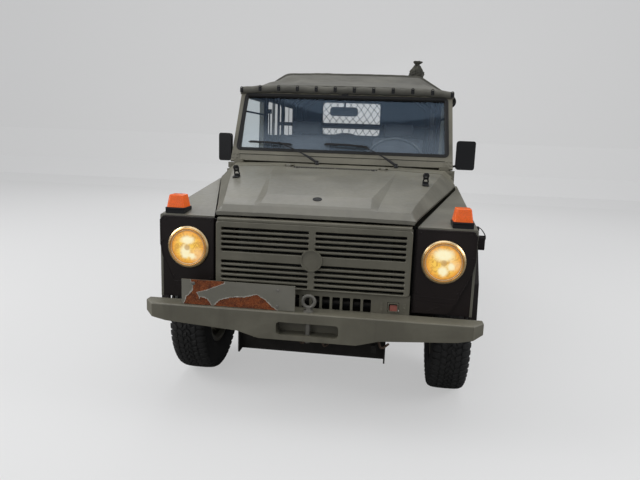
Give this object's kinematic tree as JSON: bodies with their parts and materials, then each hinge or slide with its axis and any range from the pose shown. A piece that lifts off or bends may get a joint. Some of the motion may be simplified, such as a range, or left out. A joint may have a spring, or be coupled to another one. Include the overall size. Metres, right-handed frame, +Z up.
{
  "type": "army 4x4 car with canvas top",
  "caption": "Long-wheelbase army off-road car: boxy olive body, slotted grille, round lamps, canvas top with clear windows, two doors, side-hung tailgate with spare wheel, steered front axle.",
  "frame": {"origin": "on the ground, below the middle of the whole car's length and width", "axes": "+Z up, front of the car towards -Y, the car's own left side towards +X"},
  "size_m": [1.732, 4.499, 2.0366],
  "materials": {
    "olive_paint": "matte",
    "black_paint": "satin",
    "black_plastic": "matte",
    "black_rubber": "matte",
    "tyre_rubber": "matte",
    "clear_glass": "gloss",
    "lamp_glass": "gloss",
    "lamp_bowl": "gloss",
    "amber_plastic": "gloss",
    "red_plastic": "gloss",
    "canvas": "matte",
    "clear_vinyl": "gloss",
    "seat_cloth": "matte",
    "cast_iron": "rough",
    "chassis_steel": "matte",
    "bare_steel": "worn",
    "exhaust_steel": "worn",
    "radiator_alloy": "matte",
    "plate_paint": "rusted"
  },
  "bodies": {
    "chassis": {"chassis_frame": "chassis_steel", "skid_plate": "chassis_steel", "front_axle": "cast_iron", "rear_axle": "cast_iron", "suspension": "chassis_steel", "driveline": "cast_iron", "engine_block": "cast_iron", "radiator": "radiator_alloy", "exhaust": "exhaust_steel", "fuel_tank": "black_paint", "floor_tub": "olive_paint", "body_sides": "olive_paint", "cowl": "olive_paint", "front_fenders": "olive_paint", "arch_liners": "black_paint", "lamp_panels": "black_paint", "headlamp_bowls": "lamp_bowl", "headlamp_lenses": "lamp_glass", "indicator_bases": "black_plastic", "indicator_lenses": "amber_plastic", "grille": "olive_paint", "lower_grille": "olive_paint", "front_bumper": "olive_paint", "tow_pin": "bare_steel", "front_plate": "plate_paint", "windscreen_frame": "olive_paint", "windscreen_glass": "clear_glass", "wipers": "black_plastic", "roof_hoops": "black_paint", "canvas_top": "canvas", "canvas_windows": "clear_vinyl", "canvas_bundles": "canvas", "dashboard": "black_plastic", "levers_and_pedals": "black_paint", "seats": "seat_cloth", "rear_lamps": "red_plastic", "rear_bumper": "olive_paint"},
    "bonnet": {"bonnet": "olive_paint", "screen_rests": "black_rubber"},
    "door_left": {"door_left": "olive_paint", "door_glass_left": "clear_glass", "mirror_left": "black_plastic"},
    "door_right": {"door_right": "olive_paint", "door_glass_right": "clear_glass", "mirror_right": "black_plastic"},
    "tailgate": {"tailgate": "olive_paint", "spare_tyre": "tyre_rubber", "spare_rim": "olive_paint"},
    "steering_wheel": {"steering_wheel": "black_plastic"},
    "knuckle_left": {"knuckle_left": "cast_iron"},
    "knuckle_right": {"knuckle_right": "cast_iron"},
    "track_rod": {"track_rod": "chassis_steel"},
    "wheel_front_left": {"tyre_front_left": "tyre_rubber", "rim_front_left": "olive_paint"},
    "wheel_front_right": {"tyre_front_right": "tyre_rubber", "rim_front_right": "olive_paint"},
    "wheel_rear_left": {"tyre_rear_left": "tyre_rubber", "rim_rear_left": "olive_paint"},
    "wheel_rear_right": {"tyre_rear_right": "tyre_rubber", "rim_rear_right": "olive_paint"}
  },
  "joints": [
    {"name": "steer_left", "type": "hinge", "parent": "chassis", "child": "knuckle_left", "pos_m": [0.62, -1.5495, 0.375], "axis": [0, 0, 1], "range_deg": [-28, 28]},
    {"name": "steer_right", "type": "hinge", "parent": "chassis", "child": "knuckle_right", "pos_m": [-0.62, -1.5495, 0.375], "axis": [0, 0, 1], "range_deg": [-28, 28]},
    {"name": "track_rod_pivot", "type": "hinge", "parent": "knuckle_left", "child": "track_rod", "pos_m": [0.62, -1.3995, 0.309], "axis": [0, 0, 1], "range_deg": [-28, 28]},
    {"name": "steering_wheel_turn", "type": "hinge", "parent": "chassis", "child": "steering_wheel", "pos_m": [0.365, -0.5845, 1.256], "axis": [0, 0.8192, 0.5736], "range_deg": [-504, 504]},
    {"name": "roll_front_left", "type": "hinge", "parent": "knuckle_left", "child": "wheel_front_left", "pos_m": [0.72, -1.5495, 0.375], "axis": [1, 0, 0], "continuous": true},
    {"name": "roll_front_right", "type": "hinge", "parent": "knuckle_right", "child": "wheel_front_right", "pos_m": [-0.72, -1.5495, 0.375], "axis": [1, 0, 0], "continuous": true},
    {"name": "roll_rear_left", "type": "hinge", "parent": "chassis", "child": "wheel_rear_left", "pos_m": [0.72, 1.3005, 0.375], "axis": [1, 0, 0], "continuous": true},
    {"name": "roll_rear_right", "type": "hinge", "parent": "chassis", "child": "wheel_rear_right", "pos_m": [-0.72, 1.3005, 0.375], "axis": [1, 0, 0], "continuous": true},
    {"name": "door_left_swing", "type": "hinge", "parent": "chassis", "child": "door_left", "pos_m": [0.772, -1.0515, 0.9], "axis": [0, 0, -1], "range_deg": [0, 70]},
    {"name": "door_right_swing", "type": "hinge", "parent": "chassis", "child": "door_right", "pos_m": [-0.772, -1.0515, 0.9], "axis": [0, 0, 1], "range_deg": [0, 70]},
    {"name": "bonnet_lift", "type": "hinge", "parent": "chassis", "child": "bonnet", "pos_m": [0, -1.1935, 1.232], "axis": [-1, 0, 0], "range_deg": [0, 50]},
    {"name": "tailgate_swing", "type": "hinge", "parent": "chassis", "child": "tailgate", "pos_m": [-0.66, 2.0225, 0.95], "axis": [0, 0, 1], "range_deg": [0, 95]}
  ],
  "couplings": [
    {"joint": "steer_right", "follows": "steer_left", "ratio": 1},
    {"joint": "track_rod_pivot", "follows": "steer_left", "ratio": -1},
    {"joint": "steering_wheel_turn", "follows": "steer_left", "ratio": 18}
  ]
}
